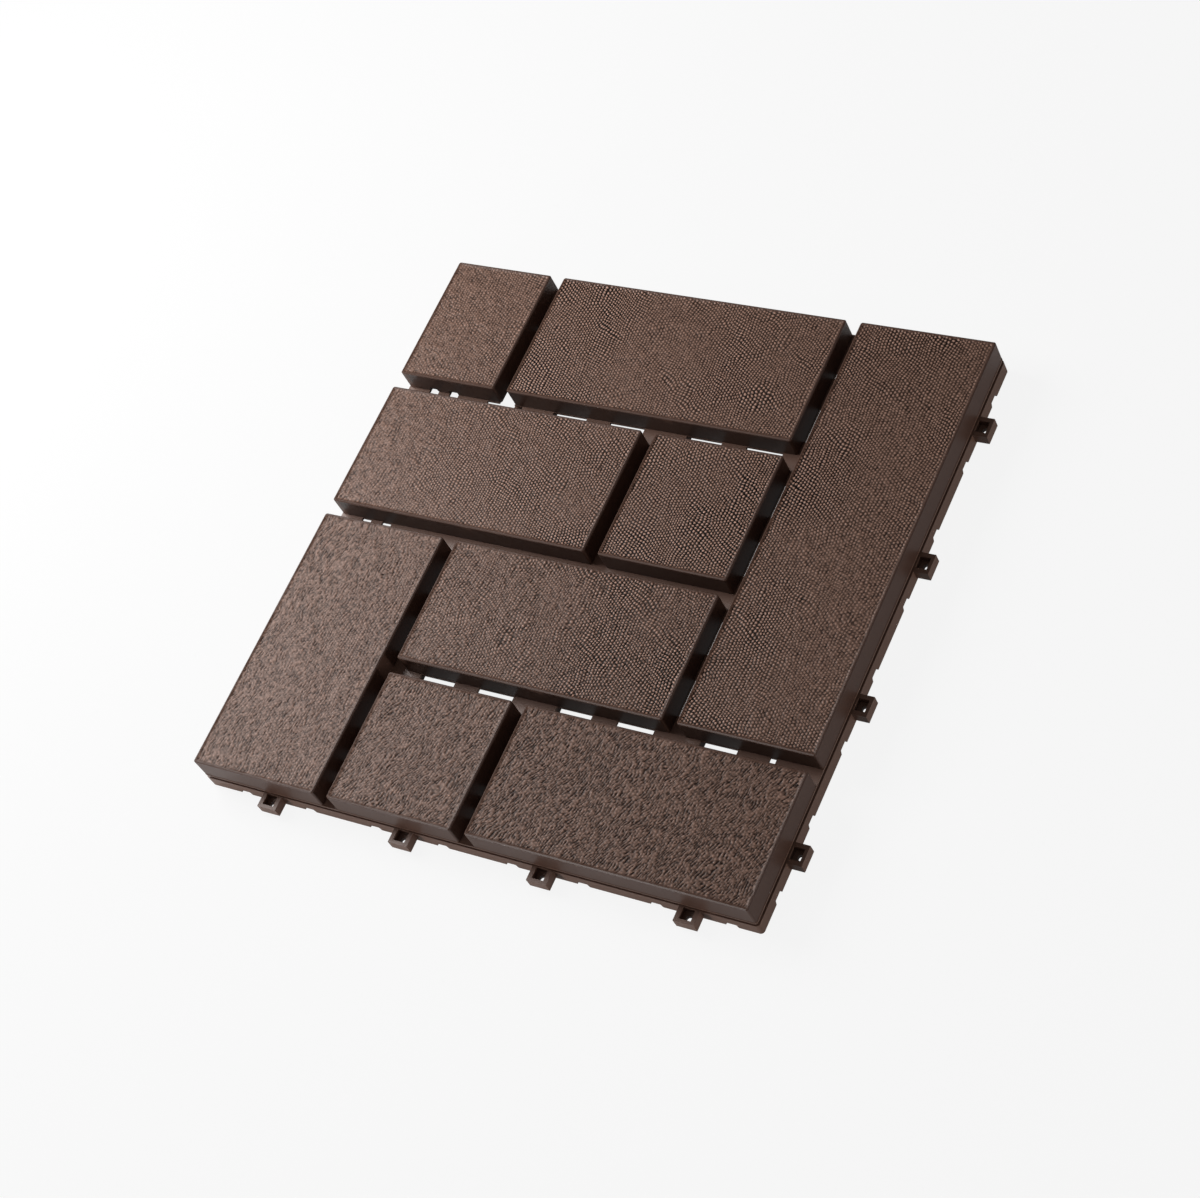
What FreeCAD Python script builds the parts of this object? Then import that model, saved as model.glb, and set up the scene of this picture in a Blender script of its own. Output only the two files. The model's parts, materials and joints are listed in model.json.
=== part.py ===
import FreeCAD, Part
import os

# Interlocking deck tile: nine hollow slab caps on one open lattice base.
# Millimetres. +X right, +Y back, +Z up. The origin is the centre of the
# slab field on the ground plane.

# Slab field: the side of the square, the gap between slabs and the wider
# gap in front of the back row
FIELD = 292.0
GAP = 7.5
BACK_GAP = 8.2

# Depths of the rows from the front; the back row takes the rest
FRONT_ROW = 66.8
SECOND_ROW = 65.2
THIRD_ROW = 67.9

# Widths of the slabs that set the columns; their neighbours take the rest
RIGHT_WIDTH = 67.9
BACK_LEFT_WIDTH = 54.4
MIDDLE_LEFT_WIDTH = 141.9
LEFT_WIDTH = 68.5
FRONT_SQUARE_WIDTH = 67.2

# Distance between the rims of two joined tiles
RIM_JOINT = 7.2

# Slab caps
SLAB_HEIGHT = 12.0
SLAB_TOP_THICK = 2.5
SLAB_WALL = 2.0
SLAB_CORNER_R = 1.1
SLAB_TOP_BREAK = 0.5
POST_SIDE = 6.0
SPIGOT_SIDE = 4.4
SPIGOT_CLEARANCE = 0.2
SPIGOT_LENGTH = 5.0
POST_INSET = 14.0
WEB_THICK = 1.6
WEB_HEIGHT = 5.0

# Lattice plate
PLATE_TOP = 9.5
PLATE_THICK = 1.2
LIP_OUT = 0.15
LIP_THICK = 0.9
LIP_CORNER_R = SLAB_CORNER_R + LIP_OUT

# Inner skirt, rim and the groove between them
SKIRT_SETBACK = 2.1
SKIRT_THICK = 1.6
RIM_OUT = 0.4
RIM_THICK = 1.2
RIM_TOP = 7.0
RIM_CORNER_R = 1.8
LINK_DROP = 1.5

# Ribs and feet
RIB_THICK = 1.8
RIB_LIFT = 1.5
CELL = 74.7
JOINT_HALF_PITCH = 9.0
FOOT_SIDE = 7.0
CENTRE_FOOT_SIDE = 10.0

# Slots through the plate in the gaps, in pairs, with one shift along x and
# one along y
SLOT_LENGTH = 19.0
SLOT_OFFSET = 16.0
SLOT_PAIR_PITCH = 73.8
SLOT_SHIFT_X = 0.7
SLOT_SHIFT_Y = -0.6
SMALL_SLOT_LENGTH = 3.2
SMALL_SLOT_INSET = 25.4

# Weep openings at the left and front ends of the gaps
WEEP_INSET = 14.8
WEEP_PITCH = 11.6
WEEP_WIDTH = 5.3
WEEP_RISE = 2.4
WEEP_CROWNS = (3.6, 5.3)

# Opening where the narrow back gap meets the row gap
CROSSING_SLOT_LENGTH = 20.2
CROSSING_SLOT_SHIFT = -1.7
CROSSING_SLOT_RUN = 12.0
CROSSING_UNDERCUT = 1.5
CROSSING_CLEAR = 16.0

# Loops on the front and right sides
LOOP_PITCH = 73.5
LOOP_COUNT = 4
FRONT_SHIFT = 3.0
RIGHT_SHIFT = -0.4
LOOP_WIDTH = 10.2
LOOP_REACH = 7.0
LOOP_HEIGHT = 5.3
LOOP_SIDE_WALL = 2.1
LOOP_END_WALL = 1.6
LOOP_FLOOR = 2.0
LOOP_HOLE_R = 1.4
LOOP_HOLE_OUT = 3.4
LOOP_PASS = 0.7

# Pegs on the left and back sides, which drop into a neighbour's loops
PEG_CLEARANCE = 0.15
PEG_R = LOOP_HOLE_R - PEG_CLEARANCE
PEG_BOTTOM = 2.0
TAB_WIDTH = 9.0
TAB_EDGE = 2.4

# Drain notches along the rim's foot
NOTCH_LENGTH = 6.2
NOTCH_DEPTH = 2.2
NOTCH_CROWN = 4.8
NOTCH_OFFSET = LOOP_PITCH / 4.0

# Bridge across the groove beside the front gap's right-hand end
BRIDGE_BESIDE_GAP = 1.0
BRIDGE_WIDTH = 2.2

# How far a cutting shape runs past the faces that it cuts
PASS = 1.0

# Values that follow
HALF = FIELD / 2.0
HALF_GAP = GAP / 2.0
PLATE_BOTTOM = PLATE_TOP - PLATE_THICK
SLAB_TOP = PLATE_TOP + SLAB_HEIGHT
SKIRT_OUT = HALF - SKIRT_SETBACK
SKIRT_IN = SKIRT_OUT - SKIRT_THICK
RIM_OUTER = HALF + RIM_OUT
RIM_INNER = RIM_OUTER - RIM_THICK
LOOP_BOTTOM = RIM_TOP - LOOP_HEIGHT
PEG_AT = RIM_OUTER + RIM_JOINT - LOOP_HOLE_OUT
CELL_CENTRES = [CELL * k for k in (-1.5, -0.5, 0.5, 1.5)]
CELL_JOINTS = [CELL * k for k in (-1.0, 0.0, 1.0)]
WEEP_PLACES = (WEEP_INSET - HALF, WEEP_INSET + WEEP_PITCH - HALF)
SMALL_SLOT_AT = HALF - SMALL_SLOT_INSET
GATE_HALF = LOOP_WIDTH / 2.0 + LOOP_PASS

# Edges of the rows and of the columns
ROW_1 = (-HALF, -HALF + FRONT_ROW)
ROW_2 = (ROW_1[1] + GAP, ROW_1[1] + GAP + SECOND_ROW)
ROW_3 = (ROW_2[1] + GAP, ROW_2[1] + GAP + THIRD_ROW)
ROW_4 = (ROW_3[1] + BACK_GAP, HALF)
RIGHT_START = HALF - RIGHT_WIDTH
INNER_END = RIGHT_START - GAP
BACK_LEFT_END = -HALF + BACK_LEFT_WIDTH
MIDDLE_LEFT_END = -HALF + MIDDLE_LEFT_WIDTH
LEFT_END = -HALF + LEFT_WIDTH
FRONT_SQUARE_END = LEFT_END + GAP + FRONT_SQUARE_WIDTH

# Slab outlines: left, right, front and back edge
SLABS = {
    "slab_back_left": (-HALF, BACK_LEFT_END, ROW_4[0], ROW_4[1]),
    "slab_back_middle": (BACK_LEFT_END + GAP, INNER_END, ROW_4[0], ROW_4[1]),
    "slab_right_long": (RIGHT_START, HALF, ROW_2[0], ROW_4[1]),
    "slab_middle_left": (-HALF, MIDDLE_LEFT_END, ROW_3[0], ROW_3[1]),
    "slab_middle_square": (MIDDLE_LEFT_END + GAP, INNER_END, ROW_3[0], ROW_3[1]),
    "slab_left_long": (-HALF, LEFT_END, ROW_1[0], ROW_2[1]),
    "slab_centre": (LEFT_END + GAP, INNER_END, ROW_2[0], ROW_2[1]),
    "slab_front_square": (LEFT_END + GAP, FRONT_SQUARE_END, ROW_1[0], ROW_1[1]),
    "slab_front_right": (FRONT_SQUARE_END + GAP, HALF, ROW_1[0], ROW_1[1]),
}

# Gaps: direction, centre line, start, end and width
BACK_ROW_GAP = ("x", ROW_3[1] + BACK_GAP / 2.0, -HALF, INNER_END, BACK_GAP)
BACK_LEFT_GAP = ("y", BACK_LEFT_END + HALF_GAP, ROW_4[0], HALF, GAP)
GAPS = [
    BACK_ROW_GAP,
    BACK_LEFT_GAP,
    ("x", ROW_1[1] + HALF_GAP, LEFT_END + GAP, HALF, GAP),
    ("x", ROW_2[1] + HALF_GAP, -HALF, INNER_END, GAP),
    ("y", RIGHT_START - HALF_GAP, ROW_2[0], HALF, GAP),
    ("y", MIDDLE_LEFT_END + HALF_GAP, ROW_3[0], ROW_3[1], GAP),
    ("y", LEFT_END + HALF_GAP, -HALF, ROW_2[1], GAP),
    ("y", FRONT_SQUARE_END + HALF_GAP, -HALF, ROW_1[1], GAP),
]


def block(x0, x1, y0, y1, z0, z1):
    """Return a box between the given limits."""
    return Part.makeBox(x1 - x0, y1 - y0, z1 - z0, FreeCAD.Vector(x0, y0, z0))


def centred(x, y, side_x, side_y, z0, z1):
    """Return a box centred on x and y."""
    return block(x - side_x / 2, x + side_x / 2, y - side_y / 2, y + side_y / 2, z0, z1)


def rounded(x0, x1, y0, y1, z0, z1, radius):
    """Return a box whose four upright edges are rounded."""
    box = block(x0, x1, y0, y1, z0, z1)
    upright = [e for e in box.Edges if abs(e.tangentAt(e.FirstParameter).z) > 0.9]
    return box.makeFillet(radius, upright)


def ring(outer, thick, z0, z1, radius):
    """Return a square ring with rounded corners around the origin."""
    inner = outer - thick
    body = rounded(-outer, outer, -outer, outer, z0, z1, radius)
    inside = radius - thick
    return body.cut(rounded(-inner, inner, -inner, inner, z0 - PASS, z1 + PASS, inside))


def cylinder(x, y, z0, z1, radius):
    """Return an upright cylinder."""
    base = FreeCAD.Vector(x, y, z0)
    return Part.makeCylinder(radius, z1 - z0, base, FreeCAD.Vector(0, 0, 1))


def to_side(shape, side):
    """Turn a shape made for the front side to the named side."""
    turns = {"front": 0, "right": 90, "back": 180, "left": 270}
    turned = shape.copy()
    turned.rotate(FreeCAD.Vector(0, 0, 0), FreeCAD.Vector(0, 0, 1), turns[side])
    return turned


def along(side, value):
    """Return the coordinate along a side in the frame of the front side."""
    return value if side in ("front", "right") else -value


def loop_places(side):
    """Return the loop positions along a side, as row coordinates."""
    shift = FRONT_SHIFT if side in ("front", "back") else RIGHT_SHIFT
    first = -(LOOP_COUNT - 1) / 2.0
    return [shift + LOOP_PITCH * (first + k) for k in range(LOOP_COUNT)]


def loop(at):
    """Return one open-topped loop on the front side, without its pocket."""
    half = LOOP_WIDTH / 2
    root = -RIM_INNER - RIM_THICK / 2
    return block(at - half, at + half, -RIM_OUTER - LOOP_REACH, root, LOOP_BOTTOM, RIM_TOP)


def loop_pocket(at):
    """Return the space inside one loop on the front side."""
    floor = LOOP_BOTTOM + LOOP_FLOOR
    half = LOOP_WIDTH / 2 - LOOP_SIDE_WALL
    end = -RIM_OUTER - LOOP_REACH + LOOP_END_WALL
    pocket = block(at - half, at + half, end, -RIM_OUTER, floor, RIM_TOP + PASS)
    middle = -RIM_OUTER - LOOP_HOLE_OUT
    return pocket.fuse(cylinder(at, middle, LOOP_BOTTOM - PASS, RIM_TOP, LOOP_HOLE_R))


def peg(at):
    """Return one tab with its downward peg, drawn on the front side."""
    edge = -PEG_AT - TAB_EDGE
    tab = block(at - TAB_WIDTH / 2, at + TAB_WIDTH / 2, edge, -SKIRT_IN, PLATE_BOTTOM, PLATE_TOP)
    return tab.fuse(cylinder(at, -PEG_AT, PEG_BOTTOM, PLATE_BOTTOM + PLATE_THICK / 2, PEG_R))


def arch(at, shape, foot_z, y0, y1):
    """Return a cut with a flat crown and steep ends, running along y."""
    foot = shape[0] / 2
    crown = shape[1] / 2
    top = foot_z + shape[2]
    outline = [(-foot, foot_z - PASS), (-foot, foot_z), (-crown, top),
               (crown, top), (foot, foot_z), (foot, foot_z - PASS)]
    corners = [FreeCAD.Vector(at + x, y0, z) for x, z in outline]
    face = Part.Face(Part.makePolygon(corners + corners[:1]))
    return face.extrude(FreeCAD.Vector(0, y1 - y0, 0))


def notch(at):
    """Return the cut of one drain notch, drawn on the front side."""
    shape = (NOTCH_LENGTH, NOTCH_CROWN, NOTCH_DEPTH)
    return arch(at, shape, 0, -RIM_OUTER - PASS, -RIM_INNER + PASS)


def rib_lines():
    """Return where ribs run: at every cell centre and beside every joint."""
    pairs = [j + s * JOINT_HALF_PITCH for j in CELL_JOINTS for s in (-1, 1)]
    return sorted(CELL_CENTRES + pairs)


def link_lines(side):
    """Return where links cross the groove: on the ribs and beside the gates."""
    lines = rib_lines()
    if side in ("front", "right"):
        return lines
    gates = [along(side, place) for place in loop_places(side)]
    beside = GATE_HALF + RIB_THICK / 2
    free = [x for x in lines if min(abs(x - gate) for gate in gates) > beside + RIB_THICK]
    return free + [gate + sign * beside for gate in gates for sign in (-1, 1)]


def post_places(outline):
    """Return the plan points of a slab's four posts, set in from its edges."""
    left, right, front, back = outline
    xs = (left + POST_INSET, right - POST_INSET)
    ys = (front + POST_INSET, back - POST_INSET)
    return [(x, y) for x in xs for y in ys]


def gap_box(gap, start, length, z0, z1):
    """Return the slot cut for a stretch of a gap."""
    half = gap[4] / 2 - LIP_OUT
    low = gap[1] - half
    high = gap[1] + half
    if gap[0] == "x":
        return block(start, start + length, low, high, z0, z1)
    return block(low, high, start, start + length, z0, z1)


def slot_cuts():
    """Return every cut through the plate in the gaps."""
    z0 = RIB_LIFT
    z1 = PLATE_TOP + PASS
    cuts = []
    pairs = [SLOT_PAIR_PITCH * k for k in (-1.5, -0.5, 0.5, 1.5)]
    places = [c + s * SLOT_OFFSET for c in pairs for s in (-1, 1)][1:-1]
    replaced = ((BACK_ROW_GAP, places[0]), (BACK_LEFT_GAP, places[-1]))
    for gap in GAPS:
        direction, line, start, end, _ = gap
        if start < WEEP_PLACES[0]:
            for place in WEEP_PLACES:
                cuts.append(gap_box(gap, place - WEEP_WIDTH / 2, WEEP_WIDTH, z0, z1))
        if end > SMALL_SLOT_AT + SLOT_LENGTH:
            cuts.append(gap_box(gap, SMALL_SLOT_AT, SMALL_SLOT_LENGTH, z0, z1))
        if abs(line) < JOINT_HALF_PITCH:
            continue
        shift = SLOT_SHIFT_X if direction == "x" else SLOT_SHIFT_Y
        for place in places:
            first = place + shift - SLOT_LENGTH / 2
            inside = first > start and first + SLOT_LENGTH < end
            if inside and (gap, place) not in replaced:
                cuts.append(gap_box(gap, first, SLOT_LENGTH, z0, z1))
    back = ROW_4[0]
    for place in WEEP_PLACES:
        half = WEEP_WIDTH / 2
        cuts.append(block(place - half, place + half, back - PASS, back + SLAB_WALL, z0, z1))
    first = BACK_LEFT_GAP[1] + CROSSING_SLOT_SHIFT - CROSSING_SLOT_LENGTH / 2
    cuts.append(gap_box(BACK_ROW_GAP, first, CROSSING_SLOT_LENGTH, z0, z1))
    cuts.append(gap_box(BACK_LEFT_GAP, BACK_ROW_GAP[1], back + CROSSING_SLOT_RUN
                        - BACK_ROW_GAP[1], z0, z1))
    cuts.append(block(BACK_LEFT_END - CROSSING_UNDERCUT, BACK_LEFT_END + PASS,
                      back - LIP_OUT, back + CROSSING_SLOT_RUN, z0, z1))
    return cuts


def make_base():
    """Return the one-piece base moulding."""
    lip_edge = HALF + LIP_OUT
    lip = rounded(-lip_edge, lip_edge, -lip_edge, lip_edge,
                  PLATE_TOP - LIP_THICK, PLATE_TOP, LIP_CORNER_R)
    plate = lip.fuse(block(-SKIRT_OUT, SKIRT_OUT, -SKIRT_OUT, SKIRT_OUT,
                           PLATE_BOTTOM, PLATE_TOP))
    cuts = slot_cuts()
    side = SPIGOT_SIDE + 2 * SPIGOT_CLEARANCE
    for outline in SLABS.values():
        for x, y in post_places(outline):
            cuts.append(centred(x, y, side, side, PLATE_BOTTOM - PASS, PLATE_TOP + PASS))
    plate = plate.cut(cuts)

    skirt = block(-SKIRT_OUT, SKIRT_OUT, -SKIRT_OUT, SKIRT_OUT, RIB_LIFT, PLATE_BOTTOM)
    skirt = skirt.cut(block(-SKIRT_IN, SKIRT_IN, -SKIRT_IN, SKIRT_IN, 0, PLATE_TOP))
    under = [skirt]
    half = RIB_THICK / 2
    reach = SKIRT_OUT - SKIRT_THICK / 2
    for line in rib_lines():
        under.append(block(-reach, reach, line - half, line + half, RIB_LIFT, PLATE_BOTTOM))
        under.append(block(line - half, line + half, -reach, reach, RIB_LIFT, PLATE_BOTTOM))
    rib_face = CELL_JOINTS[0] - JOINT_HALF_PITCH - half
    clear = block(BACK_LEFT_END - CROSSING_CLEAR, rib_face, ROW_4[0],
                  ROW_4[0] + CROSSING_SLOT_RUN, RIB_LIFT, PLATE_BOTTOM)
    under = [piece.cut(clear) for piece in under]
    for x in CELL_CENTRES:
        for y in CELL_CENTRES:
            under.append(centred(x, y, FOOT_SIDE, FOOT_SIDE, 0, RIB_LIFT))
    mid = JOINT_HALF_PITCH
    under.append(block(-mid, mid, -half, half, RIB_LIFT, PLATE_BOTTOM))
    under.append(block(-half, half, -mid, mid, RIB_LIFT, PLATE_BOTTOM))
    under.append(centred(0, 0, CENTRE_FOOT_SIDE, CENTRE_FOOT_SIDE, 0, RIB_LIFT))

    rim = ring(RIM_OUTER, RIM_THICK, 0, RIM_TOP, RIM_CORNER_R)
    notches = []
    passes = []
    pockets = []
    for side in ("front", "right", "back", "left"):
        for place in loop_places(side):
            at = along(side, place)
            for sign in (-1, 1):
                notches.append(to_side(notch(at + sign * NOTCH_OFFSET), side))
            if side in ("front", "right"):
                under.append(to_side(loop(at), side))
                pockets.append(to_side(loop_pocket(at), side))
            else:
                gate = block(at - GATE_HALF, at + GATE_HALF, -RIM_OUTER - PASS, -SKIRT_OUT,
                             -PASS, RIM_TOP + PASS)
                passes.append(to_side(gate, side))
                under.append(to_side(peg(at), side))
        for line in link_lines(side):
            link = block(line - half, line + half, -RIM_INNER - RIM_THICK / 2,
                         -SKIRT_OUT + SKIRT_THICK / 2, RIB_LIFT, RIM_TOP - LINK_DROP)
            under.append(to_side(link, side))
    rim = rim.cut(notches + passes)
    bridge = centred(ROW_1[1] - BRIDGE_BESIDE_GAP, -(RIM_INNER + SKIRT_OUT) / 2, BRIDGE_WIDTH,
                     RIM_INNER - SKIRT_OUT + RIM_THICK, RIB_LIFT, RIM_TOP)
    under.append(to_side(bridge, "right"))
    base = plate.fuse(under + [rim])
    base = base.cut(pockets)
    return base.removeSplitter()


def make_slab(outline):
    """Return one hollow slab cap with its posts and spigots."""
    x0, x1, y0, y1 = outline
    shell = rounded(x0, x1, y0, y1, PLATE_TOP, SLAB_TOP, SLAB_CORNER_R)
    top_edges = [e for e in shell.Edges if min(v.Z for v in e.Vertexes) > SLAB_TOP - 0.01]
    shell = shell.makeChamfer(SLAB_TOP_BREAK, top_edges)
    wall = SLAB_WALL
    ceiling = SLAB_TOP - SLAB_TOP_THICK
    shell = shell.cut(block(x0 + wall, x1 - wall, y0 + wall, y1 - wall,
                            PLATE_TOP - PASS, ceiling))
    inside = []
    low = ceiling - WEB_HEIGHT
    half = WEB_THICK / 2
    middle_x = (x0 + x1) / 2
    middle_y = (y0 + y1) / 2
    inner = wall / 2
    inside.append(block(middle_x - half, middle_x + half, y0 + inner, y1 - inner, low, ceiling))
    inside.append(block(x0 + inner, x1 - inner, middle_y - half, middle_y + half, low, ceiling))
    bottom = PLATE_TOP - SPIGOT_LENGTH
    for x, y in post_places(outline):
        inside.append(centred(x, y, POST_SIDE, POST_SIDE, PLATE_TOP, ceiling))
        inside.append(centred(x, y, SPIGOT_SIDE, SPIGOT_SIDE, bottom, PLATE_TOP))
    return shell.fuse(inside).removeSplitter()


def weep_cuts():
    """Return the two weep cuts through the foot of one wall."""
    start = ROW_4[0] - PASS
    end = ROW_4[0] + SLAB_WALL + PASS
    cuts = []
    for place, crown in zip(WEEP_PLACES, WEEP_CROWNS):
        cuts.append(arch(place, (WEEP_WIDTH, crown, WEEP_RISE), PLATE_TOP, start, end))
    return cuts


def main():
    """Write one STEP file for each piece."""
    os.makedirs("parts", exist_ok=True)
    make_base().exportStep("parts/base_lattice.step")
    for name, outline in SLABS.items():
        slab = make_slab(outline)
        if name == "slab_back_left":
            slab = slab.cut(weep_cuts())
        slab.exportStep("parts/" + name + ".step")


main()
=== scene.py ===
"""Dresses the interlocking deck tile: grained slab caps, satin base, soft studio light.

Lengths are in metres where Blender takes them and in millimetres in the grain sizes.
"""

import json
import logging
import math
from dataclasses import dataclass, field
from enum import Enum, IntEnum

import bmesh
import bpy
import numpy as np
from mathutils import Matrix, Quaternion, Vector

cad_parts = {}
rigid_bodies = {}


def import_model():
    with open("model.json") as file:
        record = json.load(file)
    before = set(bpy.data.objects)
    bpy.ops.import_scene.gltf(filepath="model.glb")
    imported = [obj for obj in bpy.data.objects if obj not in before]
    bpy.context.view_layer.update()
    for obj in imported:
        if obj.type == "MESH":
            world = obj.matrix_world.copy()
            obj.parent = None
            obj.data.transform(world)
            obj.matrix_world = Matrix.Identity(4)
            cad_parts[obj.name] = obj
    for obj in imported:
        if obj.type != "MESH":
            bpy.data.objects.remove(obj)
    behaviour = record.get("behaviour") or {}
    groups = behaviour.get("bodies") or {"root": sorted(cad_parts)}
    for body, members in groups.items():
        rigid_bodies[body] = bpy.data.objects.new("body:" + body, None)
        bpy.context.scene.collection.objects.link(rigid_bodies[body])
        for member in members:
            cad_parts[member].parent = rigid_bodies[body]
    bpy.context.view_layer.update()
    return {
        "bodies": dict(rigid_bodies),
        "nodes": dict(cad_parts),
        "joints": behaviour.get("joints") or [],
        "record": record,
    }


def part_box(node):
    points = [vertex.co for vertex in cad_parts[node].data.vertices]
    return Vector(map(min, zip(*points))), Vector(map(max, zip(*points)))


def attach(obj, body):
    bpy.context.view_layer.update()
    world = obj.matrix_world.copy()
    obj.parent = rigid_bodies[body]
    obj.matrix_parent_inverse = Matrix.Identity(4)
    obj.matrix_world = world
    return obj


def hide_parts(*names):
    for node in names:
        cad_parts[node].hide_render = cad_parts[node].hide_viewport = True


log = logging.getLogger("deck_tile")

MM = 0.001
ROOT = "root"
POLYPROPYLENE_IOR = 1.49


def linear(hex_colour: str) -> tuple[float, float, float, float]:
    """Turn an sRGB hex colour to linear values.

    Args:
        hex_colour: Six hex digits, such as "8a7f70".

    Returns:
        Red, green, blue and an alpha of 1.
    """
    parts = [int(hex_colour[i : i + 2], 16) / 255 for i in (0, 2, 4)]
    values = [p / 12.92 if p <= 0.04045 else ((p + 0.055) / 1.055) ** 2.4 for p in parts]
    return (values[0], values[1], values[2], 1.0)


def add_node(
    tree: bpy.types.NodeTree,
    kind: str,
    settings: dict[str, object] | None = None,
    inputs: dict[str, object] | None = None,
) -> bpy.types.Node:
    """Add a shader node with its settings, constant inputs and links.

    Args:
        tree: The node tree that takes the node.
        kind: Blender's name of the node type.
        settings: Properties of the node itself.
        inputs: Socket names with a constant, or with an output socket to link.

    Returns:
        The new node.
    """
    node = tree.nodes.new(kind)
    for name, value in (settings or {}).items():
        setattr(node, name, value)
    for name, value in (inputs or {}).items():
        socket = node.inputs[int(name)] if name.isdigit() else node.inputs[name]
        if isinstance(value, bpy.types.NodeSocket):
            tree.links.new(value, socket)
        else:
            socket.default_value = value
    return node


def empty_material(name: str) -> tuple[bpy.types.Material, bpy.types.NodeTree]:
    """Make a material without nodes.

    Args:
        name: Name of the material.

    Returns:
        The material and its node tree.
    """
    material = bpy.data.materials.new(name)
    material.use_nodes = True
    material.node_tree.nodes.clear()
    return material, material.node_tree


class Slot(Enum):
    """Material slots of the record."""

    SLAB = "slab_polypropylene"
    BASE = "base_polypropylene"


@dataclass(frozen=True)
class GrainedPolypropylene:
    """Filled polypropylene moulded against an etched, leather-grained tool.

    The grain's valleys are painted nearly black as painted shade, and the crests are painted
    lighter as painted highlight under a soft satin sheen. The smooth walls are painted darker than
    the crests, as painted shade.

    Attributes:
        lit_crest: Colour of the grain's crests, the plastic's brown made lighter as painted
            highlight.
        shaded_valley: Colour of the grain's valleys, nearly black as painted shade.
        shaded_wall: Colour of the smooth walls and of the top's margin, the plastic's brown made
            darker as painted shade.
        crest_gloss: Tint of the sheen on the crests.
        valley_gloss_shade: Tint of the sheen in the valleys, dark as painted shade that dims the
            sheen there.
        roughness: Spread of the sheen.
        gloss_level: Strength of the sheen.
        fleck_mm: Size of the finest unevenness, which is bump.
        fleck_height_mm: Height of that bump.
    """

    lit_crest: str = "d9aa94"
    shaded_valley: str = "080504"
    shaded_wall: str = "513a30"
    crest_gloss: str = "ffffff"
    valley_gloss_shade: str = "140e0c"
    roughness: float = 0.4
    gloss_level: float = 0.42
    fleck_mm: float = 0.5
    fleck_height_mm: float = 0.03

    def build(self) -> bpy.types.Material:
        """Make the material of the slab caps.

        Returns:
            The material.
        """
        # Painted shade darkens the grain's valleys nearly to black, painted highlight lightens its
        # crests, and the walls take painted shade
        material, tree = empty_material("moulded_polypropylene_grained")
        place = add_node(tree, "ShaderNodeTexCoord").outputs["Object"]
        depth = add_node(
            tree, "ShaderNodeAttribute", {"attribute_name": "grain_painted_shade"}
        ).outputs["Fac"]
        top = add_node(
            tree, "ShaderNodeAttribute", {"attribute_name": "grain_field"}
        ).outputs["Fac"]
        # Painted highlight on the crests and painted shade in the valleys, mixed by the grain's
        # shade attribute
        grain_painted_light = add_node(
            tree,
            "ShaderNodeMix",
            {"data_type": "RGBA"},
            {"Factor": depth, "6": linear(self.lit_crest), "7": linear(self.shaded_valley)},
        ).outputs["Result"]
        # Walls and the top's margin take the darker wall colour, which is painted shade
        colour = add_node(
            tree,
            "ShaderNodeMix",
            {"data_type": "RGBA"},
            {"Factor": top, "6": linear(self.shaded_wall), "7": grain_painted_light},
        ).outputs["Result"]
        # Dark sheen tint in the valleys: painted shade that dims the sheen there
        shaded_gloss = add_node(
            tree,
            "ShaderNodeMix",
            {"data_type": "RGBA"},
            {"Factor": depth, "6": linear(self.crest_gloss), "7": linear(self.valley_gloss_shade)},
        ).outputs["Result"]
        fleck = add_node(
            tree,
            "ShaderNodeTexNoise",
            {},
            {"Vector": place, "Scale": 1 / (self.fleck_mm * MM), "Detail": 2.0},
        ).outputs["Fac"]
        bump = add_node(
            tree,
            "ShaderNodeBump",
            {},
            {"Strength": 1.0, "Distance": self.fleck_height_mm * MM, "Height": fleck},
        ).outputs["Normal"]
        shader = add_node(
            tree,
            "ShaderNodeBsdfPrincipled",
            {},
            {
                "Base Color": colour,
                "Roughness": self.roughness,
                "IOR": POLYPROPYLENE_IOR,
                "Specular IOR Level": self.gloss_level,
                "Specular Tint": shaded_gloss,
                "Normal": bump,
            },
        ).outputs["BSDF"]
        add_node(tree, "ShaderNodeOutputMaterial", {}, {"Surface": shader})
        return material


@dataclass(frozen=True)
class SatinPolypropylene:
    """Polypropylene moulded in a smooth tool, with a faint orange-peel satin.

    Attributes:
        colour: The plastic's brown, set lighter than the caps' walls as painted light on the rim.
        roughness: Spread of the sheen.
        peel_mm: Distance between the swells of the orange peel.
        peel_height_mm: Height of its bump.
    """

    colour: str = "6e5245"
    roughness: float = 0.42
    peel_mm: float = 1.6
    peel_height_mm: float = 0.02

    def build(self) -> bpy.types.Material:
        """Make the material of the base moulding.

        Returns:
            The material.
        """
        # The smooth mould leaves a satin skin with soft, slightly wavy lights
        material, tree = empty_material("moulded_polypropylene_satin")
        place = add_node(tree, "ShaderNodeTexCoord").outputs["Object"]
        peel = add_node(
            tree,
            "ShaderNodeTexNoise",
            {},
            {"Vector": place, "Scale": 1 / (self.peel_mm * MM), "Detail": 1.0},
        ).outputs["Fac"]
        bump = add_node(
            tree,
            "ShaderNodeBump",
            {},
            {"Strength": 1.0, "Distance": self.peel_height_mm * MM, "Height": peel},
        ).outputs["Normal"]
        # The base's brown is set lighter than the caps' walls, as painted light on the rim
        shader = add_node(
            tree,
            "ShaderNodeBsdfPrincipled",
            {},
            {
                "Base Color": linear(self.colour),
                "Roughness": self.roughness,
                "IOR": POLYPROPYLENE_IOR,
                "Normal": bump,
            },
        ).outputs["BSDF"]
        add_node(tree, "ShaderNodeOutputMaterial", {}, {"Surface": shader})
        return material


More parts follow.
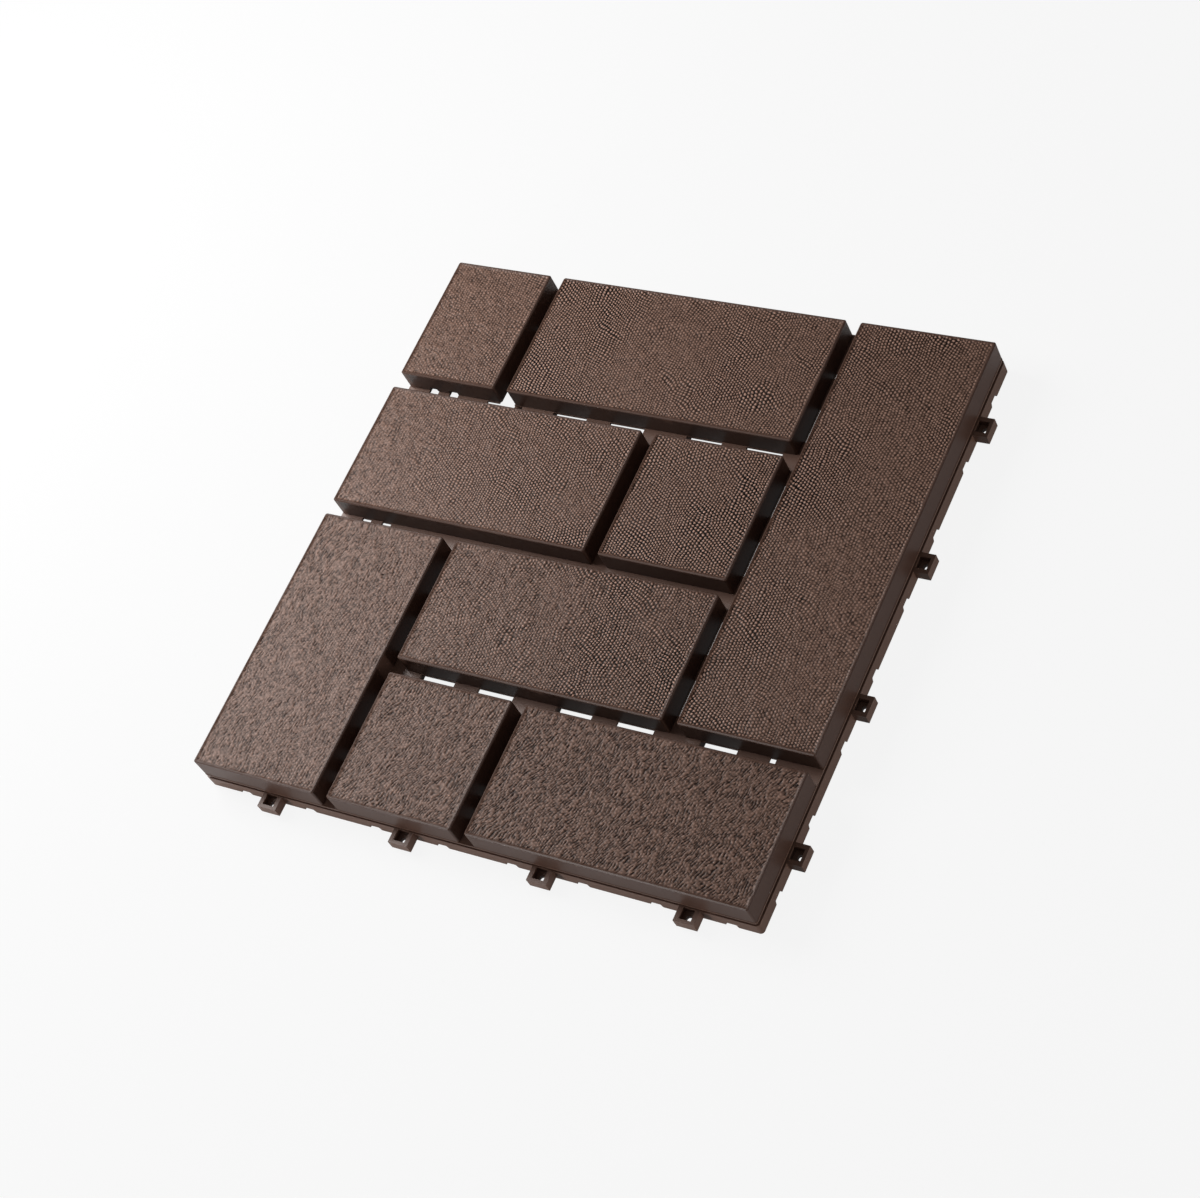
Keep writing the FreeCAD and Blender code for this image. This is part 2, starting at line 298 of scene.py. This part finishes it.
@dataclass(frozen=True)
class WhiteSweep:
    """Matt white painted floor that the camera sees as an even white.

    Attributes:
        colour: Colour of the paint, which takes the tile's shadow.
        seen_white: Share of plain white that the camera sees instead of the paint.
        mirrored_white: Share of plain white that a reflection shows.
    """

    colour: str = "cfcfcf"
    seen_white: float = 0.88
    mirrored_white: float = 0.14

    def build(self) -> bpy.types.Material:
        """Make the floor's material, which keeps a faint shadow of the tile.

        Returns:
            The material.
        """
        # Rolled matt paint gives no mirror image, and the camera sees it nearly white
        material, tree = empty_material("white_painted_sweep")
        path = add_node(tree, "ShaderNodeLightPath").outputs
        seen = add_node(
            tree,
            "ShaderNodeMath",
            {"operation": "MAXIMUM"},
            {"0": path["Is Camera Ray"], "1": path["Is Transmission Ray"]},
        ).outputs["Value"]
        seen_share = add_node(
            tree, "ShaderNodeMath", {"operation": "MULTIPLY"}, {"0": seen, "1": self.seen_white}
        ).outputs["Value"]
        share = add_node(
            tree,
            "ShaderNodeMath",
            {"operation": "MULTIPLY_ADD"},
            {"0": path["Is Glossy Ray"], "1": self.mirrored_white, "2": seen_share},
        ).outputs["Value"]
        matt = add_node(
            tree, "ShaderNodeBsdfDiffuse", {}, {"Color": linear(self.colour)}
        ).outputs["BSDF"]
        white = add_node(
            tree, "ShaderNodeEmission", {}, {"Color": linear("ffffff"), "Strength": 1.0}
        ).outputs["Emission"]
        surface = add_node(
            tree, "ShaderNodeMixShader", {}, {"0": share, "1": matt, "2": white}
        ).outputs["Shader"]
        add_node(tree, "ShaderNodeOutputMaterial", {}, {"Surface": surface})
        return material


class Pattern(IntEnum):
    """Numbers that keep the noise patterns of the grain apart."""

    SLOW_BEND_X = 20
    QUICK_BEND_X = 21
    SLOW_BEND_Y = 22
    QUICK_BEND_Y = 23
    CREASES = 41
    PATCHES = 50
    STREAKS = 51
    LUMPS = 52
    SWELLS = 53
    MARGIN = 54


@dataclass(frozen=True)
class GrainNoise:
    """Repeatable noise for the grain, from whole-number hashing of a lattice.

    Attributes:
        seed: Changes the whole pattern.
        seed_stride: Keeps the patterns of one seed apart from those of the next.
        across: Odd factor of the lattice coordinates across.
        along: Odd factor of the lattice coordinates along.
        scatter: Odd factor of the pattern's number.
        rounds: Shift and odd factor of each mixing round.
        last_shift: Shift at the end.
        word: Largest 32-bit whole number.
    """

    seed: int = 7
    seed_stride: int = 97
    across: int = 374761393
    along: int = 668265263
    scatter: int = 2246822519
    rounds: tuple[tuple[int, int], ...] = ((13, 1274126177), (15, 2246822519))
    last_shift: int = 16
    word: int = 0xFFFFFFFF

    def hashed(self, ix: np.ndarray, iy: np.ndarray, pattern: Pattern) -> np.ndarray:
        """Return a value from 0 to 1 for every lattice point.

        Args:
            ix: Whole lattice coordinates across.
            iy: Whole lattice coordinates along.
            pattern: Picks one of the independent patterns.

        Returns:
            An array of the same shape.
        """
        mask = np.uint64(self.word)
        start = (self.seed * self.seed_stride + pattern) * self.scatter & self.word
        mixed = (
            ix.astype(np.int64).astype(np.uint64) * np.uint64(self.across)
            + iy.astype(np.int64).astype(np.uint64) * np.uint64(self.along)
            + np.uint64(start)
        ) & mask
        for shift, factor in self.rounds:
            mixed = ((mixed ^ (mixed >> np.uint64(shift))) * np.uint64(factor)) & mask
        return (mixed ^ (mixed >> np.uint64(self.last_shift))).astype(float) / (self.word + 1.0)

    def smooth(self, x: np.ndarray, y: np.ndarray, size: float, pattern: Pattern) -> np.ndarray:
        """Return smooth noise from 0 to 1 whose swells are about size wide.

        Args:
            x: Coordinates in millimetres.
            y: Coordinates in millimetres.
            size: Width of a swell in millimetres.
            pattern: Picks one of the independent patterns.

        Returns:
            An array of the same shape as x.
        """
        u, v = x / size, y / size
        iu, iv = np.floor(u), np.floor(v)
        fu, fv = u - iu, v - iv
        su, sv = fu * fu * (3 - 2 * fu), fv * fv * (3 - 2 * fv)
        low = self.hashed(iu, iv, pattern) * (1 - su) + self.hashed(iu + 1, iv, pattern) * su
        high = (
            self.hashed(iu, iv + 1, pattern) * (1 - su)
            + self.hashed(iu + 1, iv + 1, pattern) * su
        )
        return low * (1 - sv) + high * sv


def smoothstep(low: float, high: float, value: np.ndarray) -> np.ndarray:
    """Return a smooth ramp from 0 at low to 1 at high."""
    t = np.clip((value - low) / (high - low), 0.0, 1.0)
    return t * t * (3 - 2 * t)


@dataclass(frozen=True)
class GrainRecipe:
    """How the grain of one slab is mixed.

    Attributes:
        weave_left: Strength of the woven rows at the slab's left end, 0 to 1.
        weave_right: Strength of the woven rows at the slab's right end.
        crease: Strength of the short creases, 0 to 1.
        crease_share: Share of the ground that the short creases cover, 0 to 1.
        turn: Direction of the short creases in degrees from +X.
        lump: Strength of the soft swells under the grain.
    """

    weave_left: float
    weave_right: float
    crease: float
    crease_share: float
    turn: float = 78.0
    lump: float = 1.0


@dataclass
class LeatherGrain:
    """The leather grain of the slab tops.

    The real rows and pips lie about 1.1 mm apart, too fine to show in the render,
    so they are drawn a quarter to two fifths further apart.

    Attributes:
        noise: The noise that the grain is made from.
        row_mm: Distance between the woven rows.
        pip_mm: Distance between the pips along a row.
        row_turn: Direction across the rows, in degrees from +X.
        pip_turn: Direction across the lines of pips, in degrees from +X.
        row_weight: Part of a pip's height that its row gives.
        pip_weight: Part of a pip's height that its line of pips gives.
        weave_ramp: Range of depth over which a pip's side falls.
        weave_bends_mm: Reach of the slow and the quick bends of the rows.
        weave_depth_mm: Depth of the valleys between the pips.
        crease_mm: Distance between short creases.
        crease_wide: Width of a crease as a share of that distance.
        crease_long_mm: Length of a short crease.
        crease_row_weight: How far the creases keep to even rows.
        crease_break: How strongly the noise breaks them up.
        crease_spread: How strongly a recipe's share widens them.
        crease_ramp: Range of depth over which a crease's side falls.
        crease_bends_mm: Reach of the slow and the quick bends of the creases.
        crease_depth_mm: Depth of a crease.
        crease_shade: Painted shade that a crease adds.
        streak_mm: Distance between the finest streaks of the ground.
        streak_long_mm: Length of such a streak.
        streak_depth_mm: Depth of such a streak.
        streak_shade: Painted shade that a streak adds.
        ground_shade: Darkness of the ground without streaks.
        lump_mm: Width of the lumps under the grain.
        lump_depth_mm: Height of the lumps.
        swell_mm: Width of the wide swells of the whole top.
        swell_depth_mm: Height of the swells.
        slow_bend_mm: Width of a slow bend.
        quick_bend_mm: Width of a quick bend.
        patch_mm: Width of the patches where the weave is stronger or weaker.
        patch_strength: How much the weave's strength changes from patch to patch.
        margin_start_mm: Width of the smooth margin of a slab's top.
        margin_end_mm: Distance from the edge at which the grain has its full depth.
        wander_mm: Length of a wave of the margin's inner edge.
        wander_reach_mm: Width over which that edge wanders.
    """

    noise: GrainNoise = field(default_factory=GrainNoise)
    row_mm: float = 1.4
    pip_mm: float = 1.55
    row_turn: float = 60.0
    pip_turn: float = 176.0
    row_weight: float = 0.56
    pip_weight: float = 0.44
    weave_ramp: tuple[float, float] = (-0.86, -0.06)
    weave_bends_mm: tuple[float, float] = (2.6, 1.0)
    weave_depth_mm: float = 0.36
    crease_mm: float = 1.2
    crease_wide: float = 0.5
    crease_long_mm: float = 1.25
    crease_row_weight: float = 0.45
    crease_break: float = 1.5
    crease_spread: float = 1.6
    crease_ramp: tuple[float, float] = (0.05, 0.45)
    crease_bends_mm: tuple[float, float] = (3.6, 1.5)
    crease_depth_mm: float = 0.25
    crease_shade: float = 0.8
    streak_mm: float = 0.62
    streak_long_mm: float = 1.1
    streak_depth_mm: float = 0.15
    streak_shade: float = 0.36
    ground_shade: float = 0.59
    lump_mm: float = 4.5
    lump_depth_mm: float = 0.16
    swell_mm: float = 16.0
    swell_depth_mm: float = 0.14
    slow_bend_mm: float = 13.0
    quick_bend_mm: float = 4.0
    patch_mm: float = 24.0
    patch_strength: float = 0.8
    margin_start_mm: float = 0.35
    margin_end_mm: float = 1.25
    wander_mm: float = 3.0
    wander_reach_mm: float = 0.4

    def bent(
        self, x: np.ndarray, y: np.ndarray, reach_mm: tuple[float, float]
    ) -> tuple[np.ndarray, np.ndarray]:
        """Bend the plane a little, so that the grain flows.

        Args:
            x: Coordinates in millimetres.
            y: Coordinates in millimetres.
            reach_mm: How far the slow and the quick bends reach.

        Returns:
            The bent coordinates.
        """
        slow, quick = reach_mm
        slow_x = self.noise.smooth(x, y, self.slow_bend_mm, Pattern.SLOW_BEND_X)
        slow_y = self.noise.smooth(x, y, self.slow_bend_mm, Pattern.SLOW_BEND_Y)
        quick_x = self.noise.smooth(x, y, self.quick_bend_mm, Pattern.QUICK_BEND_X)
        quick_y = self.noise.smooth(x, y, self.quick_bend_mm, Pattern.QUICK_BEND_Y)
        return x + slow * slow_x + quick * quick_x, y + slow * slow_y + quick * quick_y

    def weave(self, x: np.ndarray, y: np.ndarray) -> np.ndarray:
        """Return the depth of the rows of pips, 0 on a crest and 1 in a valley.

        Args:
            x: Coordinates in millimetres.
            y: Coordinates in millimetres.

        Returns:
            Depths from 0 to 1.
        """
        wx, wy = self.bent(x, y, self.weave_bends_mm)
        waves = []
        for pitch, turn in ((self.row_mm, self.row_turn), (self.pip_mm, self.pip_turn)):
            angle = math.radians(turn)
            along = (wx * math.cos(angle) + wy * math.sin(angle)) / pitch
            waves.append(np.cos(2 * math.pi * along))
        height = self.row_weight * waves[0] + self.pip_weight * waves[1]
        return smoothstep(*self.weave_ramp, -height)

    def combed(
        self, x: np.ndarray, y: np.ndarray, turn_degrees: float
    ) -> tuple[np.ndarray, np.ndarray]:
        """Return the places along and beside the bent direction that the creases follow.

        Args:
            x: Coordinates in millimetres.
            y: Coordinates in millimetres.
            turn_degrees: Mean direction of the creases from +X.

        Returns:
            The distances along and beside that direction in millimetres.
        """
        wx, wy = self.bent(x, y, self.crease_bends_mm)
        angle = math.radians(turn_degrees)
        along = wx * math.cos(angle) + wy * math.sin(angle)
        beside = wy * math.cos(angle) - wx * math.sin(angle)
        return along, beside

    def creases(self, along: np.ndarray, beside: np.ndarray, share: float) -> np.ndarray:
        """Return the depth of the short creases, 0 between them and 1 at their bottom.

        Args:
            along: Distances along the creases in millimetres.
            beside: Distances across the creases in millimetres.
            share: Share of the ground that they cover.

        Returns:
            Depths from 0 to 1.
        """
        wave = np.cos(2 * math.pi * beside / self.crease_mm)
        u, v = along / self.crease_long_mm, beside / (self.crease_wide * self.crease_mm)
        broken = self.noise.smooth(u, v, 1.0, Pattern.CREASES) - 0.5
        ridge = (
            self.crease_row_weight * wave
            + self.crease_break * broken
            + self.crease_spread * (share - 0.5)
        )
        return smoothstep(*self.crease_ramp, ridge)

    def margin(self, edge: np.ndarray) -> np.ndarray:
        """Return the grain's strength, 0 in the smooth margin and 1 further in."""
        return smoothstep(self.margin_start_mm, self.margin_end_mm, edge)

    def relief(
        self, x: np.ndarray, y: np.ndarray, across: np.ndarray, edge: np.ndarray, mix: GrainRecipe
    ) -> tuple[np.ndarray, np.ndarray]:
        """Return how far the surface lies below the slab's top plane, and its painted shade.

        Args:
            x: Coordinates in millimetres.
            y: Coordinates in millimetres.
            across: Place from 0 at the slab's left end to 1 at its right end.
            edge: Distance to the slab's nearest edge in millimetres.
            mix: The slab's recipe.

        Returns:
            Depths in millimetres, 0 or more, and painted shades from 0, painted highlight on a
            crest, to 1, painted shade in the deepest hollows.
        """
        share = mix.weave_left + (mix.weave_right - mix.weave_left) * across
        patches = self.noise.smooth(x, y, self.patch_mm, Pattern.PATCHES) - 0.5
        share = np.clip(share * (1.0 + self.patch_strength * patches), 0, 1)
        weave = self.weave(x, y) * share
        along, beside = self.combed(x, y, mix.turn)
        crease = self.creases(along, beside, mix.crease_share) * mix.crease
        shortened = along * self.streak_mm / self.streak_long_mm
        streak = self.noise.smooth(shortened, beside, self.streak_mm, Pattern.STREAKS)
        lump = self.noise.smooth(x, y, self.lump_mm, Pattern.LUMPS) * mix.lump
        swell = self.noise.smooth(x, y, self.swell_mm, Pattern.SWELLS)
        total = (
            weave * self.weave_depth_mm
            + crease * self.crease_depth_mm
            + streak * self.streak_depth_mm
            + lump * self.lump_depth_mm
            + swell * self.swell_depth_mm
        )
        wave = self.noise.smooth(x, y, self.wander_mm, Pattern.MARGIN) - 0.5
        fade = self.margin(edge + self.wander_reach_mm * wave)
        # Deeper weave, creases and streaks are painted darker: painted shade in the grain's hollows
        # over the plastic's own ground tone
        ground = self.ground_shade + self.streak_shade * streak
        shade = ground * (1.0 - share) + weave
        shade = 1.0 - (1.0 - shade) * (1.0 - self.crease_shade * crease)
        return total * fade, np.clip(shade, 0, 1)


@dataclass
class SlabCaps:
    """The nine slab caps, each the moulded cap with a grained top face.

    Attributes:
        finish: The caps' finish.
        grain: The grain of their tops.
        step_mm: Distance between the points of the grained face.
        chamfer_mm: Width of the chamfer round the top.
        corner_mm: Radius of the flat top's corners.
        seam_mm: Width of the flat band that joins the grained face to the chamfer.
        crisp_degrees: Turn from which an edge is shown as an edge.
        level_slack_mm: How far below the top a point still counts as on it.
        weld_mm: Distance within which the CAD mesh's points are merged.
        recipes: The grain of each slab.
    """

    finish: GrainedPolypropylene = field(default_factory=GrainedPolypropylene)
    grain: LeatherGrain = field(default_factory=LeatherGrain)
    step_mm: float = 0.42
    chamfer_mm: float = 0.5
    corner_mm: float = 0.6
    seam_mm: float = 0.05
    crisp_degrees: float = 35.0
    level_slack_mm: float = 0.02
    weld_mm: float = 0.001
    recipes: dict[str, GrainRecipe] = field(
        default_factory=lambda: {
            "slab_back_left": GrainRecipe(0.3, 0.45, 0.4, 0.3, 120.0),
            "slab_back_middle": GrainRecipe(0.9, 0.65, 0.3, 0.35),
            "slab_right_long": GrainRecipe(0.75, 0.6, 0.4, 0.4),
            "slab_middle_left": GrainRecipe(0.2, 0.95, 0.4, 0.3, 84.0),
            "slab_middle_square": GrainRecipe(1.0, 1.0, 0.3, 0.3),
            "slab_left_long": GrainRecipe(0.12, 0.25, 0.7, 0.33, 84.0, 1.3),
            "slab_centre": GrainRecipe(0.35, 0.9, 0.7, 0.4, 70.0, 0.7),
            "slab_front_square": GrainRecipe(0.25, 0.3, 0.85, 0.4, 66.0, 0.7),
            "slab_front_right": GrainRecipe(0.25, 0.2, 1.0, 0.44, 66.0, 0.5),
        }
    )

    def on_top(self, part: bmesh.types.BMFace | bmesh.types.BMEdge, top: float) -> bool:
        """Tell whether a face or an edge lies in the cap's top plane."""
        return min(v.co.z for v in part.verts) > top - self.level_slack_mm * MM

    def mark_crisp(self, edges: list[bmesh.types.BMEdge]) -> None:
        """Show the edges with a strong turn as edges, and smooth the others.

        Args:
            edges: Edges of a cap.
        """
        crisp = math.radians(self.crisp_degrees)
        for edge in edges:
            edge.smooth = edge.calc_face_angle(0.0) < crisp

    def cap_shell(self, node: str, top: float) -> bmesh.types.BMesh:
        """Copy a CAD cap and take off its flat top face.

        Args:
            node: The CAD node.
            top: Height of the flat top in metres.

        Returns:
            The open shell.
        """
        shell = bmesh.new()
        shell.from_mesh(bpy.data.objects[node].data)
        bmesh.ops.remove_doubles(shell, verts=shell.verts, dist=self.weld_mm * MM)
        flat = [face for face in shell.faces if self.on_top(face, top)]
        bmesh.ops.delete(shell, geom=flat, context="FACES")
        self.mark_crisp(list(shell.edges))
        return shell

    def top_face(self, low: Vector, high: Vector, mix: GrainRecipe) -> bpy.types.Mesh:
        """Make the grained top face of one cap.

        Args:
            low: Lowest corner of the cap in metres.
            high: Highest corner of the cap in metres.
            mix: The slab's grain recipe.

        Returns:
            A mesh that keeps its painted shade and highlight in the attribute grain_painted_shade,
            and in grain_field where the grain lies.
        """
        inset = (self.chamfer_mm + self.seam_mm) * MM
        x0, x1 = low.x + inset, high.x - inset
        y0, y1 = low.y + inset, high.y - inset
        across = max(2, round((x1 - x0) / (self.step_mm * MM)))
        along = max(2, round((y1 - y0) / (self.step_mm * MM)))
        sheet = bmesh.new()
        half = Matrix.Diagonal(((x1 - x0) / 2, (y1 - y0) / 2, 1.0, 1.0))
        centre = Matrix.Translation(((x0 + x1) / 2, (y0 + y1) / 2, high.z))
        bmesh.ops.create_grid(
            sheet, x_segments=across, y_segments=along, size=1.0, matrix=centre @ half
        )
        mesh = bpy.data.meshes.new("grained_top")
        sheet.to_mesh(mesh)
        sheet.free()
        points = np.zeros(len(mesh.vertices) * 3)
        mesh.vertices.foreach_get("co", points)
        points = points.reshape(-1, 3)
        self.round_corners(points, x0, x1, y0, y1)
        x, y = points[:, 0] / MM, points[:, 1] / MM
        edge = np.minimum.reduce([x - x0 / MM, x1 / MM - x, y - y0 / MM, y1 / MM - y])
        place = (points[:, 0] - x0) / (x1 - x0)
        depth, shade = self.grain.relief(x, y, place, edge, mix)
        points[:, 2] = high.z - depth * MM
        mesh.vertices.foreach_set("co", points.ravel())
        # The shade attribute carries painted shade in the grain's hollows and painted highlight on
        # its crests
        for name, values in (("grain_painted_shade", shade), ("grain_field", self.grain.margin(edge))):
            kept = mesh.attributes.new(name, "FLOAT", "POINT")
            kept.data.foreach_set("value", values)
        return mesh

    def round_corners(
        self, points: np.ndarray, x0: float, x1: float, y0: float, y1: float
    ) -> None:
        """Pull the grid's corner points in to the cap's rounded corners.

        Args:
            points: Grid points, changed in place.
            x0: Left edge in metres.
            x1: Right edge in metres.
            y0: Front edge in metres.
            y1: Back edge in metres.
        """
        radius = (self.corner_mm - self.seam_mm) * MM
        for sx, cx in ((-1, x0 + radius), (1, x1 - radius)):
            for sy, cy in ((-1, y0 + radius), (1, y1 - radius)):
                dx, dy = points[:, 0] - cx, points[:, 1] - cy
                away = np.hypot(dx, dy)
                outside = (dx * sx > 0) & (dy * sy > 0) & (away > radius)
                scale = radius / np.maximum(away, radius)
                points[outside, 0] = (cx + dx * scale)[outside]
                points[outside, 1] = (cy + dy * scale)[outside]

    def close_seam(self, cap: bmesh.types.BMesh, top: float) -> None:
        """Join the grained top to the shell with a narrow flat band.

        Args:
            cap: The shell and the top, changed in place.
            top: Height of the flat top in metres.
        """
        seam = [edge for edge in cap.edges if edge.is_boundary and self.on_top(edge, top)]
        bmesh.ops.triangle_fill(cap, edges=seam, use_beauty=True, normal=(0.0, 0.0, 1.0))
        self.mark_crisp(seam)

    def build(self) -> list[bpy.types.Object]:
        """Make and dress every cap.

        Returns:
            The cap objects.
        """
        material = self.finish.build()
        return [self.build_cap(node, mix, material) for node, mix in self.recipes.items()]

    def build_cap(
        self, node: str, mix: GrainRecipe, material: bpy.types.Material
    ) -> bpy.types.Object:
        """Make one cap, which shows in place of its CAD node.

        Args:
            node: The CAD node.
            mix: The slab's grain recipe.
            material: The caps' material.

        Returns:
            The cap object.
        """
        low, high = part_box(node)
        shell = self.cap_shell(node, high.z)
        top = self.top_face(low, high, mix)
        shell.from_mesh(top)
        bpy.data.meshes.remove(top)
        self.close_seam(shell, high.z)
        name = node.replace("slab", "cap")
        mesh = bpy.data.meshes.new(name)
        shell.to_mesh(mesh)
        shell.free()
        mesh.shade_smooth()
        mesh.materials.clear()
        mesh.materials.append(material)
        cap = bpy.data.objects.new(name, mesh)
        bpy.context.scene.collection.objects.link(cap)
        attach(cap, ROOT)
        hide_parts(node)
        log.info("%s: %d faces", cap.name, len(mesh.polygons))
        return cap


@dataclass
class BaseMoulding:
    """The lattice base, shown as the CAD solid itself in its satin finish.

    Attributes:
        node: The CAD node.
        finish: The base's finish.
    """

    node: str = "base_lattice"
    finish: SatinPolypropylene = field(default_factory=SatinPolypropylene)

    def build(self, frame: dict) -> bpy.types.Object:
        """Dress the base.


        Returns:
            The base object.
        """
        base = frame["nodes"][self.node]
        material = self.finish.build()
        for holder in base.material_slots:
            holder.material = material
        log.info("%s dressed", base.name)
        return base


@dataclass(frozen=True)
class SoftBox:
    """A square soft light that faces the tile.

    Attributes:
        name: Name of the light.
        azimuth: Degrees round the tile; 0 is in front, 90 at the right.
        elevation: Degrees above the floor.
        distance: Metres from the tile.
        side: Side of the light in metres.
        watts: Power.
    """

    name: str
    azimuth: float
    elevation: float
    distance: float
    side: float
    watts: float

    def build(self) -> bpy.types.Object:
        """Make the light.

        Returns:
            The light object.
        """
        data = bpy.data.lights.new(self.name, "AREA")
        data.shape = "SQUARE"
        data.size = self.side
        data.energy = self.watts
        light = bpy.data.objects.new(self.name, data)
        a, e = math.radians(self.azimuth), math.radians(self.elevation)
        back = Vector((math.sin(a) * math.cos(e), -math.cos(a) * math.cos(e), math.sin(e)))
        light.location = back * self.distance
        light.rotation_mode = "QUATERNION"
        light.rotation_quaternion = (-back).to_track_quat("-Z", "Y")
        bpy.context.scene.collection.objects.link(light)
        return light


@dataclass
class Studio:
    """Camera, lights, white floor and world.

    Attributes:
        camera_place_mm: Where the camera stands.
        camera_aim_mm: The point that it looks at.
        camera_roll_degrees: Turn of the camera about its line of sight.
        lens_mm: Focal length on the sensor's width.
        sensor_mm: Width of the camera's sensor.
        clip_range: Nearest and furthest distance that the camera sees, in metres.
        floor_radius: Radius of the round floor in metres.
        floor_sides: Number of sides that the floor is drawn with.
        backdrop_height: Height of the floor's raised rim in metres.
        sky: Colour of the room's even light.
        sky_strength: Strength of that light.
        sweep: The floor's finish.
        lights: The soft lights.
    """

    camera_place_mm: tuple[float, float, float] = (653.8, -511.6, 1023.4)
    camera_aim_mm: tuple[float, float, float] = (15.61, -20.98, 21.5)
    camera_roll_degrees: float = -33.3
    lens_mm: float = 85.9
    sensor_mm: float = 36.0
    clip_range: tuple[float, float] = (0.05, 50.0)
    floor_radius: float = 4.5
    floor_sides: int = 64
    backdrop_height: float = 2.4
    sky: str = "ffffff"
    sky_strength: float = 0.13
    sweep: WhiteSweep = field(default_factory=WhiteSweep)
    lights: tuple[SoftBox, ...] = (
        SoftBox("window_left", 262.0, 40.0, 0.8, 0.5, 7.1),
        SoftBox("overhead", 0.0, 88.0, 1.8, 1.4, 0.6),
        SoftBox("front_fill", 335.0, 6.0, 1.8, 0.3, 13.0),
        SoftBox("right_fill", 85.0, 6.0, 1.8, 0.3, 8.0),
    )

    def build_camera(self) -> bpy.types.Object:
        """Place the camera that frames the tile as in the photo.

        Returns:
            The camera object.
        """
        data = bpy.data.cameras.new("camera")
        data.lens = self.lens_mm
        data.sensor_width = self.sensor_mm
        camera = bpy.data.objects.new("camera", data)
        place = Vector(self.camera_place_mm) * MM
        aim = Vector(self.camera_aim_mm) * MM
        level = (aim - place).to_track_quat("-Z", "Y")
        roll = Quaternion((0.0, 0.0, 1.0), math.radians(self.camera_roll_degrees))
        camera.location = place
        camera.rotation_mode = "QUATERNION"
        camera.rotation_quaternion = level @ roll
        data.clip_start, data.clip_end = self.clip_range
        bpy.context.scene.collection.objects.link(camera)
        bpy.context.scene.camera = camera
        return camera

    def build_floor(self) -> bpy.types.Object:
        """Lay the round white floor, whose rim rises as a backdrop all round.

        Returns:
            The floor object.
        """
        sheet = bmesh.new()
        bmesh.ops.create_circle(
            sheet, cap_ends=True, cap_tris=False, segments=self.floor_sides, radius=self.floor_radius
        )
        rim = [edge for edge in sheet.edges if edge.is_boundary]
        grown = bmesh.ops.extrude_edge_only(sheet, edges=rim)["geom"]
        raised = [v for v in grown if isinstance(v, bmesh.types.BMVert)]
        bmesh.ops.translate(sheet, verts=raised, vec=(0.0, 0.0, self.backdrop_height))
        mesh = bpy.data.meshes.new("floor")
        sheet.to_mesh(mesh)
        sheet.free()
        floor = bpy.data.objects.new("floor", mesh)
        mesh.materials.append(self.sweep.build())
        bpy.context.scene.collection.objects.link(floor)
        return floor

    def build_world(self) -> None:
        """Give the room an even pale light."""
        world = bpy.data.worlds.new("pale_room")
        world.use_nodes = True
        tree = world.node_tree
        tree.nodes.clear()
        sky = add_node(
            tree,
            "ShaderNodeBackground",
            {},
            {"Color": linear(self.sky), "Strength": self.sky_strength},
        ).outputs["Background"]
        add_node(tree, "ShaderNodeOutputWorld", {}, {"Surface": sky})
        bpy.context.scene.world = world

    def build(self) -> None:
        """Make the whole studio."""
        self.build_camera()
        self.build_floor()
        self.build_world()
        for light in self.lights:
            light.build()
        bpy.context.scene.view_settings.view_transform = "Standard"
        log.info("studio: %d soft lights", len(self.lights))


def main() -> None:
    """Load the frame, dress the tile and build the studio."""
    logging.basicConfig(level=logging.INFO, format="%(message)s")
    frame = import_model()
    BaseMoulding().build(frame)
    SlabCaps().build()
    Studio().build()


if __name__ == "__main__":
    main()
